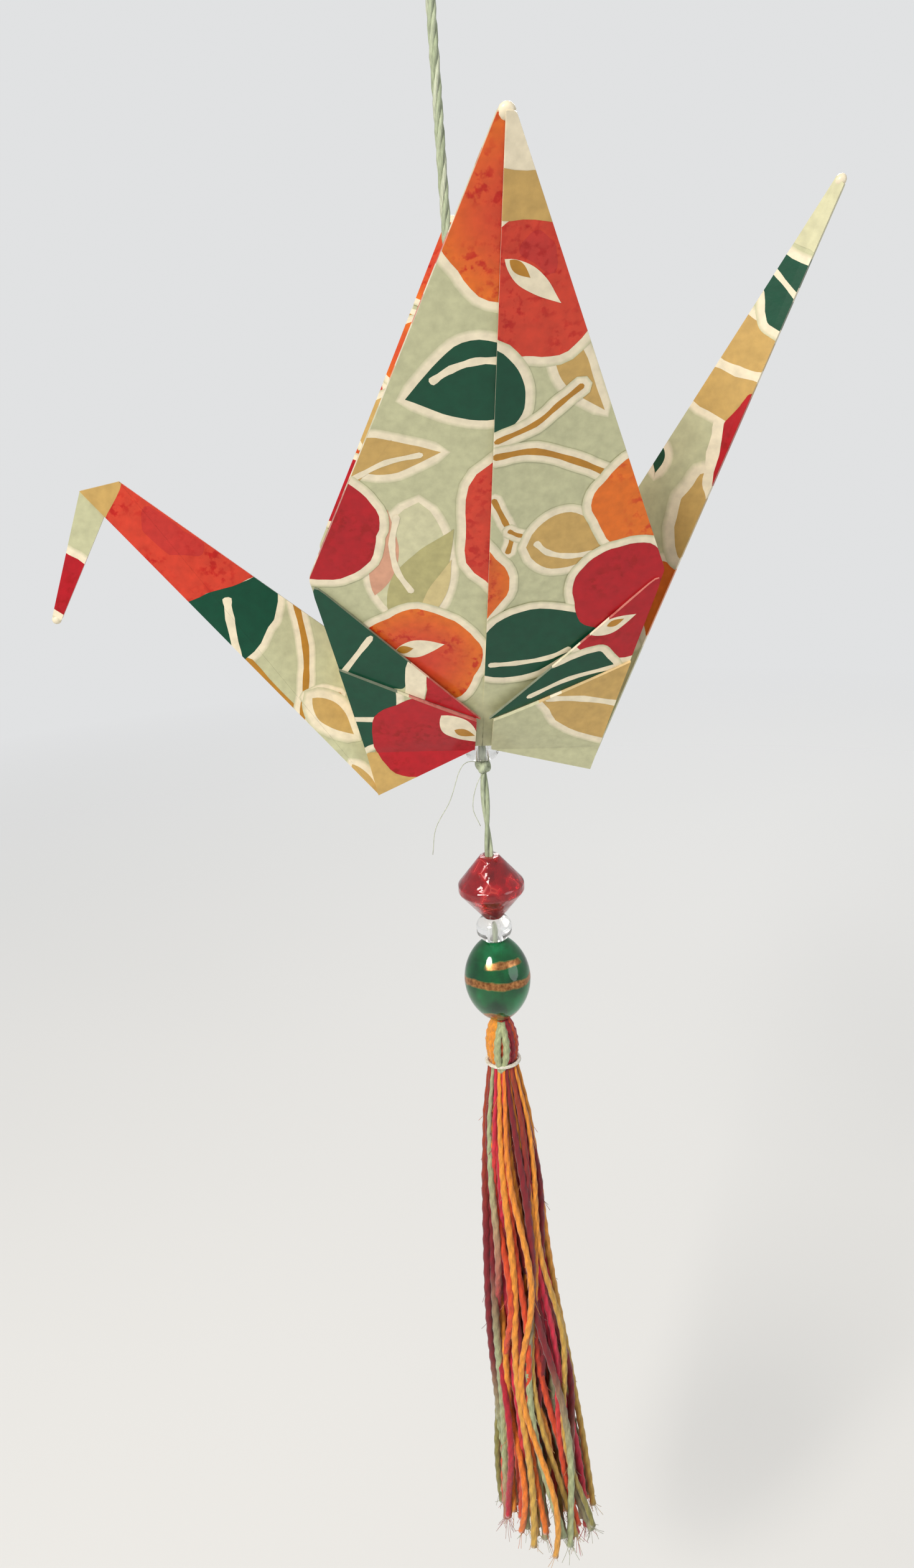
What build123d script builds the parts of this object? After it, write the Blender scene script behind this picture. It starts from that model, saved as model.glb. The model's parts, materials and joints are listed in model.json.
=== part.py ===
from build123d import *
import math
import os

os.makedirs("parts", exist_ok=True)

# Sheet and folds of the crane. Everything about the bird follows from the square's side.
SHEET = 127.0            # side of the square sheet
PLY = 0.16               # one varnished layer of paper
WING_OPEN = 28.5         # each wing leans out from upright
CRANE_LEAN = 2.9         # the bird hangs leaning towards its tail
NECK_RISE = 51.0         # neck ridge, measured from upright
NECK_YAW = -4.8          # neck swings to the front
TAIL_RISE = 31.7         # tail ridge, measured from upright
TAIL_YAW = -21.0         # tail swings to the front
HEAD_TURN = 101.0        # beak turned back from the neck's direction
HEAD_SHARE = 0.277       # part of the neck's flap that becomes the beak
NARROW = 11.25           # a leg flap's half width after narrowing
BASE_GAP = 1.6           # half the belly opening between the two base folds
SLIT = 0.8               # half the opening of a neck or tail at its root
SLIT_END = 0.22          # the same at its far end
FLAP_LIFT = 0.9          # how far a pleat stands off at the middle of the breast
TIP = 1.5                # width of a blunt point
TIP_ROUND = 0.6
CORNER_ROUND = 1.3       # rounded wing corner
SEAM = 0.24              # between the two raw edges that meet along a wing
BREAST_GAP = 0.9         # from the middle of the breast to a pleat's inner edge

# Cord, knots, beads and tassel hang on one upright line through the bird.
CORD = 1.0
CORD_CLEAR = 0.15        # around the cord where it passes through the paper
BORE = 1.1
STOPPER = (3.7, 2.3)     # diameter, length
STOPPER_TOP = 0.15       # stopper bead stands this far into the belly
KNOT = (1.9, 1.6)
DROP = 10.0              # bare cord between the knot and the first bead
BICONE = (7.6, 7.6)
BICONE_END = 2.2         # diameter of a bicone's flat end
SPACER = (4.1, 2.9)
OVAL = (7.8, 10.2)
OVAL_END = 2.6
HEAD = (4.0, 6.0)        # gathered threads above the tie
TIE = 0.45               # thickness of the thread round the tassel
SKIRT_TOP = 3.7
SKIRT_LENGTH = 75.0
SKIRT_SPREAD = ((0.10, 6.4), (0.22, 7.8), (0.42, 9.2), (0.70, 11.6), (1.0, 15.0))
THREADS = 22             # gathered threads that show round the tassel
GATHER = 0.16            # depth of the valley between two threads, as part of the radius
RISE = 82.0              # cord from the belly up to the loop's knot
LOOP = (9.0, 20.0)       # width and height of the hanging loop
LOOP_BEND = 4.2
LOOP_KNOT = (2.6, 2.4)

# Flat positions of the narrowed bird base, width and height from the crotch.
WING = SHEET / 2
CORNER = (1 - math.sqrt(0.5)) * SHEET * math.sqrt(0.5)
T_WING = math.tan(math.radians(22.5))
T_NARROW = math.tan(math.radians(NARROW))
S_HIGH = WING * (T_WING - T_NARROW) / (T_WING + T_NARROW)
S_WIDE = (WING + S_HIGH) * T_NARROW
R_HIGH = (CORNER - WING * T_NARROW) / (1 + T_NARROW)
R_WIDE = (WING + R_HIGH) * T_NARROW
Q_WIDE = WING * T_NARROW
I_HIGH = math.hypot(CORNER, WING) - WING

WING_STACK = 3 * PLY
PLEAT_STACK = 2 * PLY
FLAP_STACK = 4 * PLY
SKIN = 2.5 * PLY
BITE = 0.05              # stacked layers run into each other by this much


def plate(points, thickness, rounds=()):
    """A flat piece of paper stack centred on a plane polygon."""
    face = Face(Wire.make_polygon([Vector(*p) for p in points]))
    for index, radius in rounds:
        corner = Vector(*points[index])
        nearest = min(face.vertices(), key=lambda v: (Vector(*v) - corner).length)
        face = face.fillet_2d(radius, [nearest])
    return extrude(face, amount=thickness / 2, both=True)


def triangles(points, thickness):
    """A fan of flat pieces for a polygon that is slightly bent."""
    fan = [plate((points[0], b, c), thickness) for b, c in zip(points[1:-1], points[2:])]
    return fan[0] + fan[1:]


def wing_point(side, wide, high, out=0.0):
    """A place on the wing's plane; side is -1 at the front and +1 at the back."""
    tilt = math.radians(WING_OPEN)
    y = BASE_GAP + high * math.sin(tilt) + out * math.cos(tilt)
    z = high * math.cos(tilt) - out * math.sin(tilt)
    return (wide, side * y, z)


def hump_point(side, wide, high):
    """A place on the hump's wall, which closes to a ridge at the sheet's centre."""
    return (wide, side * BASE_GAP * (1 - high / CORNER), high)


def leg_frame(rise, yaw, way):
    """Ridge direction and the direction from the ridge to the open edge."""
    a = math.radians(rise)
    b = math.radians(yaw)
    ridge = Vector(way * math.sin(a) * math.cos(b), math.sin(a) * math.sin(b), math.cos(a))
    under = Vector(way * math.cos(a) * math.cos(b), math.cos(a) * math.sin(b), -math.sin(a))
    return ridge, under


def leg_corner(rise, way):
    """Foot of a leg: where the turned-up fold meets the body's outer edge."""
    drop = math.tan(math.radians(rise / 2))
    wide = Q_WIDE / (1 + drop * T_NARROW)
    return way * wide, -wide * drop


def wing(side):
    cut = TIP / 2
    top = WING - cut / T_WING
    outline = [
        wing_point(side, -cut, top),
        wing_point(side, -S_WIDE, S_HIGH),
        wing_point(side, -Q_WIDE, 0),
        wing_point(side, Q_WIDE, 0),
        wing_point(side, S_WIDE, S_HIGH),
        wing_point(side, cut, top),
    ]
    rounds = ((0, TIP_ROUND), (5, TIP_ROUND), (1, CORNER_ROUND), (4, CORNER_ROUND))
    sheet = plate(outline, WING_STACK, rounds)
    half = SEAM / 2
    past = top + TIP
    seam = [wing_point(side, w, h, WING_STACK / 2) for w, h in
            ((-half, I_HIGH), (half, I_HIGH), (half, past), (-half, past))]
    return sheet - plate(seam, 2 * PLY)


def pleat(side, way):
    """Turned-over side of the body: the pocket facet, the flap over it and its outer wall."""
    rise = NECK_RISE if way < 0 else TAIL_RISE
    foot_x, foot_z = leg_corner(rise, way)
    low = WING_STACK / 2 + PLEAT_STACK / 2 - BITE
    high = WING_STACK / 2 + FLAP_STACK / 2 - BITE
    facet = [
        wing_point(side, way * S_WIDE, S_HIGH, low),
        wing_point(side, way * R_WIDE, R_HIGH, low),
        wing_point(side, way * BREAST_GAP / 2, I_HIGH, low + FLAP_LIFT),
    ]
    q = wing_point(side, way * Q_WIDE, 0, high)
    crotch = wing_point(side, way * BREAST_GAP, 0, high)
    flap = [
        wing_point(side, way * BREAST_GAP, I_HIGH, high + FLAP_LIFT),
        wing_point(side, way * R_WIDE, R_HIGH, high),
        q,
        crotch,
    ]
    foot = (foot_x, side * SLIT, foot_z)
    wall = [
        wing_point(side, way * Q_WIDE, 0),
        wing_point(side, way * R_WIDE, R_HIGH),
        hump_point(side, way * R_WIDE, R_HIGH),
    ]
    return [
        plate(facet, PLEAT_STACK),
        triangles(flap, FLAP_STACK),
        plate([crotch, q, foot], FLAP_STACK),
        plate(wall, PLEAT_STACK),
    ]


def hump(side):
    outline = [
        hump_point(side, 0, CORNER),
        hump_point(side, -R_WIDE, R_HIGH),
        hump_point(side, -Q_WIDE, 0),
        hump_point(side, Q_WIDE, 0),
        hump_point(side, R_WIDE, R_HIGH),
    ]
    return plate(outline, PLEAT_STACK)


def leg_skin(side, way, ridge_end, edge_end, leave):
    """One side of a neck or tail, from the body's foot along its ridge."""
    rise = NECK_RISE if way < 0 else TAIL_RISE
    foot_x, foot_z = leg_corner(rise, way)
    foot = (foot_x, side * SLIT, foot_z)
    crotch = wing_point(side, way * BREAST_GAP, 0)
    edge = Vector(*edge_end) + Vector(0, side * SLIT_END, 0)
    return [
        plate([crotch, foot, leave], SKIN),
        plate([foot, tuple(edge), ridge_end], SKIN),
        plate([foot, ridge_end, leave], SKIN),
    ]


def neck_and_head():
    ridge, under = leg_frame(NECK_RISE, NECK_YAW, -1)
    beak = WING * HEAD_SHARE
    bend = ridge * (WING - beak)
    fold = math.tan(math.radians(HEAD_TURN / 2))
    along = beak * T_NARROW / (fold + T_NARROW)
    throat = bend + ridge * along + under * along * fold
    turn = math.radians(HEAD_TURN)
    aim = ridge * math.cos(turn) + under * math.sin(turn)
    back = ridge * math.sin(turn) - under * math.cos(turn)
    blunt = TIP / T_NARROW
    tip_ridge = bend + aim * (beak - blunt * 0.6)
    tip_edge = tip_ridge + back * TIP * 0.6
    leave = tuple(leg_frame(NECK_RISE, 0, -1)[0] * (0.24 * WING))
    skins = []
    for side in (-1, 1):
        skins += leg_skin(side, -1, tuple(bend), tuple(throat), leave)
    head = plate([tuple(p) for p in (bend, throat, tip_edge, tip_ridge)], FLAP_STACK)
    return skins + [head]


def tail():
    ridge, under = leg_frame(TAIL_RISE, TAIL_YAW, 1)
    blunt = TIP / T_NARROW
    ridge_end = ridge * (WING - blunt * 0.5)
    edge_end = ridge * (WING - blunt * 0.6) + under * TIP * 0.6
    leave = tuple(leg_frame(TAIL_RISE, 0, 1)[0] * (0.30 * WING))
    skins = []
    for side in (-1, 1):
        skins += leg_skin(side, 1, tuple(ridge_end), tuple(edge_end), leave)
    return skins


def paper_crane():
    sheets = [wing(side) for side in (-1, 1)] + [hump(side) for side in (-1, 1)]
    for side in (-1, 1):
        for way in (-1, 1):
            sheets += pleat(side, way)
    sheets += neck_and_head() + tail()
    bird = sheets[0]
    for sheet in sheets[1:]:
        bird = bird + sheet
    bird = Rot(0, CRANE_LEAN, 0) * bird
    return bird - Pos(0, 0, WING / 2) * Cylinder(CORD / 2 + CORD_CLEAR, 2 * WING)


def bored(profile):
    """A bead turned from half its outline, given as radius and height pairs."""
    points = [(BORE / 2, profile[0][1])] + list(profile) + [(BORE / 2, profile[-1][1])]
    outline = Polyline(*[(r, 0, z) for r, z in points], close=True)
    return revolve(make_face(outline), Axis.Z)


def seed_bead(size):
    """A short round bead with flat ends; its top lies at height zero."""
    diameter, length = size
    body = Cylinder(diameter / 2, length)
    body = fillet(body.edges().filter_by(GeomType.CIRCLE), 0.42 * length)
    return Pos(0, 0, -length / 2) * (body - Cylinder(BORE / 2, 2 * length))


def bicone_bead():
    diameter, length = BICONE
    belly = 0.06 * length
    half = [
        (BICONE_END / 2, -length),
        (diameter / 2, -length / 2 - belly),
        (diameter / 2, -length / 2 + belly),
        (BICONE_END / 2, 0),
    ]
    bead = bored(half)
    rims = bead.edges().filter_by(GeomType.CIRCLE).filter_by(lambda e: e.radius > diameter / 3)
    return fillet(rims, 0.42)


def oval_bead():
    diameter, length = OVAL
    top = (OVAL_END / 2, 0, 0)
    side = (diameter / 2, 0, -length / 2)
    low = (OVAL_END / 2, 0, -length)
    inner = Polyline(low, (BORE / 2, 0, -length), (BORE / 2, 0, 0), top)
    outline = make_face([ThreePointArc(top, side, low), inner])
    return revolve(outline, Axis.Z)


def knot(size):
    """A small round knot with flat ends; its top lies at height zero."""
    diameter, length = size
    body = Cylinder(diameter / 2, length)
    body = fillet(body.edges().filter_by(GeomType.CIRCLE), 0.40 * length)
    return Pos(0, 0, -length / 2) * body


def thread_ring(width, height, gather=GATHER):
    """Section through gathered threads: a ridge for each thread, a valley beside it."""
    points = []
    for step in range(2 * THREADS):
        turn = math.pi * step / THREADS
        radius = width / 2 * (1 - gather * (step % 2))
        points.append((radius * math.cos(turn), radius * math.sin(turn)))
    return Pos(0, 0, height) * make_face(Polyline(*points, close=True))


def tassel_head():
    """Threads folded over the cord's end, from under the oval bead down to the tie."""
    width, length = HEAD
    rings = [
        thread_ring(OVAL_END, 0),
        thread_ring(width, -0.30 * length),
        thread_ring(width, -0.60 * length),
        thread_ring(SKIRT_TOP, -length, GATHER / 2),
    ]
    return loft(rings, ruled=True) - Pos(0, 0, -length) * tassel_tie()


def tassel_skirt():
    rings = [thread_ring(SKIRT_TOP, 0, GATHER / 2)]
    for share, width in SKIRT_SPREAD:
        rings.append(thread_ring(width, -share * SKIRT_LENGTH))
    return loft(rings, ruled=True) - tassel_tie()


def tassel_tie():
    """Thread wound round the foot of the head, biting into the threads."""
    return Torus(SKIRT_TOP / 2 + TIE / 4, TIE / 2)


def straight_cord(length):
    """Cord hanging down from height zero."""
    return Pos(0, 0, -length / 2) * Cylinder(CORD / 2, length)


def hanging_loop():
    """Both ends of the loop stand on the knot, at height zero."""
    width, height = LOOP
    foot = CORD * 0.55
    route = FilletPolyline(
        (-foot, 0, 0),
        (-foot, 0, 0.14 * height),
        (-width / 2, 0, 0.45 * height),
        (-width / 2, 0, height),
        (width / 2, 0, height),
        (width / 2, 0, 0.45 * height),
        (foot, 0, 0.14 * height),
        (foot, 0, 0),
        radius=LOOP_BEND,
    )
    return sweep(Plane((-foot, 0, 0)) * Circle(CORD / 2), path=route)


# Heights along the hanging line, from the crotch of the bird.
knot_top = STOPPER_TOP - STOPPER[1]
drop_top = knot_top - KNOT[1]
bicone_top = drop_top - DROP
spacer_top = bicone_top - BICONE[1]
oval_top = spacer_top - SPACER[1]
head_top = oval_top - OVAL[1]
skirt_top = head_top - HEAD[1]
loop_foot = RISE + LOOP_KNOT[1]
crest = loop_foot + LOOP[1] - CORD / 2

nodes = {
    "paper_crane": (paper_crane(), 0),
    "hanging_loop": (hanging_loop(), loop_foot),
    "loop_knot": (knot(LOOP_KNOT), loop_foot),
    "hanging_cord": (straight_cord(RISE - knot_top), RISE),
    "stopper_bead": (seed_bead(STOPPER), STOPPER_TOP),
    "stopper_knot": (knot(KNOT), knot_top),
    "pendant_cord": (straight_cord(drop_top - head_top), drop_top),
    "red_bicone_bead": (bicone_bead(), bicone_top),
    "clear_spacer_bead": (seed_bead(SPACER), spacer_top),
    "green_oval_bead": (oval_bead(), oval_top),
    "tassel_head": (tassel_head(), head_top),
    "tassel_tie": (tassel_tie(), skirt_top),
    "tassel_skirt": (tassel_skirt(), skirt_top),
}

for name, (shape, height) in nodes.items():
    export_step(Pos(0, 0, height - crest) * shape, f"parts/{name}.step")
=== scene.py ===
import json
import math
import random

import bpy
from mathutils import Matrix, Vector

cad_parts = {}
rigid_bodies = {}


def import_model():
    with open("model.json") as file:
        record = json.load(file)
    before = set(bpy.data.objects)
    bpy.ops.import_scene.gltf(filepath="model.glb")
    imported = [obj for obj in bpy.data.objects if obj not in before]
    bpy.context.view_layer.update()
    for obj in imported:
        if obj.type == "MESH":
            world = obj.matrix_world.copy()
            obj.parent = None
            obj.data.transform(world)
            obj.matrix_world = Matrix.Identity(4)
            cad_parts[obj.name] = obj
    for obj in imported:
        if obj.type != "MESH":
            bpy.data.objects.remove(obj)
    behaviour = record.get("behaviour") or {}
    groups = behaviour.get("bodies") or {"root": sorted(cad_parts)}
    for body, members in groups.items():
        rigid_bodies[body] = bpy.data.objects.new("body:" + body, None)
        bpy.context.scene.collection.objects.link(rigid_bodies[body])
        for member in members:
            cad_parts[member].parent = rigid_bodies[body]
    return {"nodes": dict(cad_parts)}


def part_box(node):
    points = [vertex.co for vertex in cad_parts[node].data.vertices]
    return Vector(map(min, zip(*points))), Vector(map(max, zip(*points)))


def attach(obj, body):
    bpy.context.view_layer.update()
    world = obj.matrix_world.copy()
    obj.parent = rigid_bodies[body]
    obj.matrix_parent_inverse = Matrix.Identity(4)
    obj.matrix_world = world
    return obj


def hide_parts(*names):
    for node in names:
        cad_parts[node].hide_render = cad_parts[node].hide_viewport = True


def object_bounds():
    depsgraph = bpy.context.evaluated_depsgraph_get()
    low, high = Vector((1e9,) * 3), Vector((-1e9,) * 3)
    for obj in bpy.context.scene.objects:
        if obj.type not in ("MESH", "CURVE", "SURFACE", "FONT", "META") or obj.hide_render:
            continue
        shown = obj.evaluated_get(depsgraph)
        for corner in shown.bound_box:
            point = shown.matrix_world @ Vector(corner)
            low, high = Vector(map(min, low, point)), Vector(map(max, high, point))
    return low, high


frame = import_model()
cad_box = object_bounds()

# Folds of the crane, in millimetres from its crotch. Sheet, angles and gaps are those of the part's source.
SHEET = 127.0
PLY = 0.16
WING_OPEN = math.radians(28.5)
CRANE_LEAN = math.radians(2.9)
NECK_RISE, NECK_YAW = math.radians(51.0), math.radians(-4.8)
TAIL_RISE, TAIL_YAW = math.radians(31.7), math.radians(-21.0)
HEAD_TURN = math.radians(101.0)
HEAD_SHARE = 0.277
BASE_GAP = 1.6
SLIT, SLIT_END = 0.8, 0.22
FLAP_LIFT = 0.9
BREAST_GAP = 0.9
NECK_HIDDEN, TAIL_HIDDEN = 0.24, 0.30    # share of a leg's ridge that is inside the body
TIP_SHORT = 0.2          # wing and tail end this far before the sheet's corner
TAIL_EDGE_SHORT = 0.5
BEAK_SHORT = 2.3
WING_TIP = 0.62          # half the width of a wing's blunt end
LEG_TIP = 0.9            # width of the beak's and the tail's blunt ends
TIP_ROUND = 0.4
BEAK_ROUND = 0.35
CORNER_ROUND = 1.3
# Half sizes of the drops of varnish: along the tip, across it and through it.
WING_DROP, BEAK_DROP, TAIL_DROP = (0.68, 0.68, 0.45), (0.5, 0.48, 0.42), (0.6, 0.5, 0.4)
CREASE = 0.075           # a wing's halves fall back from its seam by this slope
FALL_REACH = 9.0         # height over which that fall sets in
RIPPLE = 0.25            # slow unevenness of a wing
RAW_LIFT = 0.30          # how far the raw edge stands off along the seam
RAW_REACH, RAW_RISE = 4.0, 14.0          # over which distance from the seam, and which height
SEAM_LAP = 0.12

WING = SHEET / 2
CORNER = (1 - math.sqrt(0.5)) * SHEET * math.sqrt(0.5)
T_WING = math.tan(math.radians(22.5))
T_NARROW = math.tan(math.radians(11.25))
S_HIGH = WING * (T_WING - T_NARROW) / (T_WING + T_NARROW)
S_WIDE = (WING + S_HIGH) * T_NARROW
R_HIGH = (CORNER - WING * T_NARROW) / (1 + T_NARROW)
R_WIDE = (WING + R_HIGH) * T_NARROW
Q_WIDE = WING * T_NARROW
I_HIGH = math.hypot(CORNER, WING) - WING

STOPPER_TOP = 0.15       # the stopper bead's top above the crotch
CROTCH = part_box("stopper_bead")[1].z - STOPPER_TOP / 1000

# Print, in panel millimetres.
OUTLINE = 0.62           # width of a shape's pale outline
INK = 0.006              # height of one layer of ink
FOLD_WEAR_AND_HIGHLIGHT = 0.25              # how much of the paper's core shows along a fold: partly wear, partly a painted highlight
CELL = 1.25              # grid on which paper and ink follow a bowed surface
WAVER, FINE_WAVER = 0.10, 0.03
BLOSSOM_POINTS, BLADE_ROWS = 52, 16
PETAL_DEPTH = 0.03
SOFT_CORNER = 0.7
OVERRUN = 0.4            # a brush line's ends run on by this share of its last step

# Colours as sRGB.
SAGE = "c3c39c"
PALE = "d3d0a9"
CREAM = "efe3c6"
CORE = "efe6cf"
CRIMSON = "b30d1c"
CORAL = "d2402a"
ORANGE = "e2701f"
GREEN = "00462f"
TAN = "c8a460"
MUSTARD = "b8812a"
# Greener and tan painted shade, in diagonal bands across a pale leaf.
PAINTED_SHADE_GREEN = "b7b079"
PAINTED_SHADE_TAN = "d6c48c"
# A pink painted reflection beside a crimson flower.
PAINTED_REFLECTION_PINK = "d9a184"
ROSE = "c4332b"
BRUSHED = (CRIMSON, CORAL, ORANGE, ROSE)


def rgb(code):
    """Linear colour of an sRGB hex code."""
    values = [int(code[i:i + 2], 16) / 255 for i in (0, 2, 4)]
    return [v / 12.92 if v <= 0.04045 else ((v + 0.055) / 1.055) ** 2.4 for v in values]


def ink(code):
    """A printed colour; its fourth value marks inks that were brushed on unevenly."""
    return rgb(code) + [float(code in BRUSHED)]


def blend(a, b, share):
    return [x + (y - x) * share for x, y in zip(a, b)]


def pairs(loop):
    """Each point of a closed line with the next one."""
    return zip(loop, loop[1:] + loop[:1])


def value_at(value, place):
    """A constant, or what a function gives at a place."""
    return value(place) if callable(value) else value


def add_object(name, data):
    made = bpy.data.objects.new(name, data)
    bpy.context.scene.collection.objects.link(made)
    return made


class Paper:
    """Collects faces in metres, with a colour for each point."""

    def __init__(self):
        self.points, self.faces, self.colours, self.normals = [], [], [], []

    def face(self, points, colours, normals):
        """Adds a face whose corners run so that it looks along its normals."""
        start = len(self.points)
        if (points[1] - points[0]).cross(points[2] - points[0]).dot(normals[0]) < 0:
            points, colours, normals = points[::-1], colours[::-1], normals[::-1]
        self.points += points
        self.colours += colours
        self.normals += normals
        self.faces.append(range(start, start + len(points)))

    def mesh_object(self, name, attribute, material):
        mesh = bpy.data.meshes.new(name)
        mesh.from_pydata(self.points, [], self.faces)
        layer = mesh.color_attributes.new(attribute, "FLOAT_COLOR", "POINT")
        flat = [c for colour in self.colours for c in (*colour, 0.0)[:4]]
        layer.data.foreach_set("color", flat)
        mesh.materials.append(material)
        mesh.polygons.foreach_set("use_smooth", [True] * len(mesh.polygons))
        if self.normals:
            mesh.normals_split_custom_set_from_vertices(self.normals)
        return add_object(name, mesh)


def hang(point):
    """A crane point in millimetres to the shared frame, with the bird's lean."""
    x, y, z = point
    c, s = math.cos(CRANE_LEAN), math.sin(CRANE_LEAN)
    return Vector(((x * c + z * s) / 1000, y / 1000, (z * c - x * s) / 1000 + CROTCH))


def inside(point, a, b):
    return (b[0] - a[0]) * (point[1] - a[1]) - (b[1] - a[1]) * (point[0] - a[0])


def clip(shape, outline):
    """The part of a convex shape inside a convex outline; both run anticlockwise."""
    for a, b in pairs(outline):
        kept = []
        for p, q in pairs(shape):
            hp, hq = inside(p, a, b), inside(q, a, b)
            if hp >= 0:
                kept.append(p)
            if (hp > 0 > hq) or (hp < 0 < hq):
                t = hp / (hp - hq)
                kept.append((p[0] + (q[0] - p[0]) * t, p[1] + (q[1] - p[1]) * t))
        shape = kept
        if len(shape) < 3:
            return []
    return shape


def anticlockwise(points):
    area = sum(a[0] * b[1] - a[1] * b[0] for a, b in pairs(points))
    return list(points) if area > 0 else list(points)[::-1]


def rounded(points, radii):
    """Outline with some corners turned into short arcs; radii maps corner to radius."""
    made = []
    for i, p in enumerate(points):
        radius = radii.get(i, 0)
        if not radius:
            made.append(p)
            continue
        here = Vector(p)
        before = (Vector(points[i - 1]) - here).normalized()
        after = (Vector(points[(i + 1) % len(points)]) - here).normalized()
        half = before.angle(after) / 2
        shorter = min(math.dist(p, points[i - 1]), math.dist(p, points[(i + 1) % len(points)]))
        reach = min(radius / math.tan(half), 0.45 * shorter)
        ends = here + before * reach, here + after * reach
        for t in (0, 0.25, 0.5, 0.75, 1):
            made.append(tuple(ends[0] * (1 - t) ** 2 + here * 2 * t * (1 - t) + ends[1] * t * t))
    return made


def on_grid(piece):
    """Cuts a convex piece along the grid that paper and ink share; gives squares and their parts."""
    us, vs = zip(*piece)
    for i in range(math.floor(min(us) / CELL), math.ceil(max(us) / CELL)):
        for j in range(math.floor(min(vs) / CELL), math.ceil(max(vs) / CELL)):
            u, v = i * CELL, j * CELL
            part = clip([(u, v), (u + CELL, v), (u + CELL, v + CELL), (u, v + CELL)], piece)
            if part:
                yield (i, j), part


class Face:
    """One side of a panel, outer (1) or inner (-1), with its inks and their layers on the grid."""

    def __init__(self, panel, side):
        self.panel, self.side = panel, side
        self.inks, self.layers = [], {}

    def normal(self, u, v):
        """Outward direction of the bowed surface."""
        step = 0.05
        at = self.panel.at
        here = hang(at(u, v, 0))
        made = (hang(at(u + step, v, 0)) - here).cross(hang(at(u, v + step, 0)) - here).normalized()
        out = hang(at(u, v, self.side)) - here
        return made if made.dot(out) > 0 else -made

    def paint(self, cells):
        """Lays convex cells, each with a colour or a colour function, just above the inks below them."""
        parts = []
        for cell, colour in cells:
            piece = clip(anticlockwise(cell), self.panel.outline)
            if piece:
                us, vs = zip(*piece)
                self.inks.append(((min(us), min(vs)), (max(us), max(vs)), piece, colour))
                parts += [(*part, colour) for part in on_grid(piece)]
        layer = 1 + max((self.layers.get(square, -1) for square, part, colour in parts), default=0)
        out = self.side * (self.panel.half + layer * INK)
        for square, part, colour in parts:
            self.layers[square] = layer
            shades = [value_at(colour, p) for p in part]
            places = [hang(self.panel.at(*p, out)) for p in part]
            paper.face(places, shades, [self.normal(*p) for p in part])


class Panel:
    """One flat or bowed stretch of paper: a convex outline and where its points lie."""

    made = []

    def __init__(self, outline, at, thickness, sides=(1, -1), raw=lambda u, v: False):
        self.outline = anticlockwise(outline)
        self.at = at
        self.half = thickness / 2
        self.raw = raw
        self.outer, self.inner = Face(self, 1), Face(self, -1)
        Panel.made.append(self)
        for side in sides:
            face = self.outer if side > 0 else self.inner
            face.paint([(self.outline, ink(SAGE))])

    def ink_at(self, point):
        """Colour of the uppermost ink at a place on the outer face."""
        for low, high, cell, colour in reversed(self.outer.inks or self.inner.inks):
            near = low[0] <= point[0] <= high[0] and low[1] <= point[1] <= high[1]
            if near and all(inside(point, a, b) >= 0 for a, b in pairs(cell)):
                return value_at(colour, point)
        return ink(SAGE)

    def close(self):
        """Edges: raw ones show the paper's core, and folds carry the print, paled a little by wear and by a
        painted highlight along the fold.
        """
        middle = [sum(x) / len(self.outline) for x in zip(*self.outline)]
        for a, b in pairs(self.outline):
            steps = max(1, int(math.dist(a, b) / CELL))
            for k in range(steps):
                p, q = blend(a, b, k / steps), blend(a, b, (k + 1) / steps)
                here = blend(blend(p, q, 0.5), middle, 0.02)
                # Fold edges: the print paled towards the core, partly wear and partly a painted highlight.
                colour = ink(CORE) if self.raw(*here) else blend(self.ink_at(here), ink(CORE), FOLD_WEAR_AND_HIGHLIGHT)
                ends = (p, 1), (p, -1), (q, -1), (q, 1)
                quad = [hang(self.at(*place, side * self.half)) for place, side in ends]
                normal = (quad[1] - quad[0]).cross(quad[2] - quad[0]).normalized()
                paper.face(quad, [colour] * 4, [normal] * 4)


paper = Paper()


# Places on the folded sheet. A side is -1 at the front and +1 at the back.
def wing_place(side, lift=0.0):
    def at(u, v, out):
        fall = CREASE * abs(u) * (1 - math.exp(-max(0, v) / FALL_REACH))
        bow = out - fall + RIPPLE * math.sin(v / 15 + u / 13)
        bow += lift * math.exp(-abs(u) / RAW_REACH) * min(1, max(0, v - I_HIGH) / RAW_RISE)
        y = BASE_GAP + v * math.sin(WING_OPEN) + bow * math.cos(WING_OPEN)
        return (u, side * y, v * math.cos(WING_OPEN) - bow * math.sin(WING_OPEN))
    return at


def raised(at, height, lift=lambda u, v: 0.0):
    return lambda u, v, out: at(u, v, out + height + lift(u, v))


def hump_place(side):
    slope = math.hypot(1, BASE_GAP / CORNER)

    def at(u, v, out):
        return (u, side * (BASE_GAP * (1 - v / CORNER) + out / slope), v)
    return at


def flat_place(corners, places, outward):
    """The plane through three places, in the coordinates of three panel corners."""
    a, b, c = (Vector(p) for p in places)
    (ua, va), (ub, vb), (uc, vc) = corners
    det = (ub - ua) * (vc - va) - (uc - ua) * (vb - va)
    normal = (b - a).cross(c - a).normalized()
    if normal.dot(Vector(outward)) < 0:
        normal = -normal

    def at(u, v, out):
        s = ((u - ua) * (vc - va) - (uc - ua) * (v - va)) / det
        t = ((ub - ua) * (v - va) - (u - ua) * (vb - va)) / det
        return tuple(a + (b - a) * s + (c - a) * t + normal * out)
    return at


def leg_frame(rise, yaw, way):
    ridge = Vector((way * math.sin(rise) * math.cos(yaw), math.sin(rise) * math.sin(yaw), math.cos(rise)))
    under = Vector((way * math.cos(rise) * math.cos(yaw), math.cos(rise) * math.sin(yaw), -math.sin(rise)))
    return ridge, under


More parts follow.
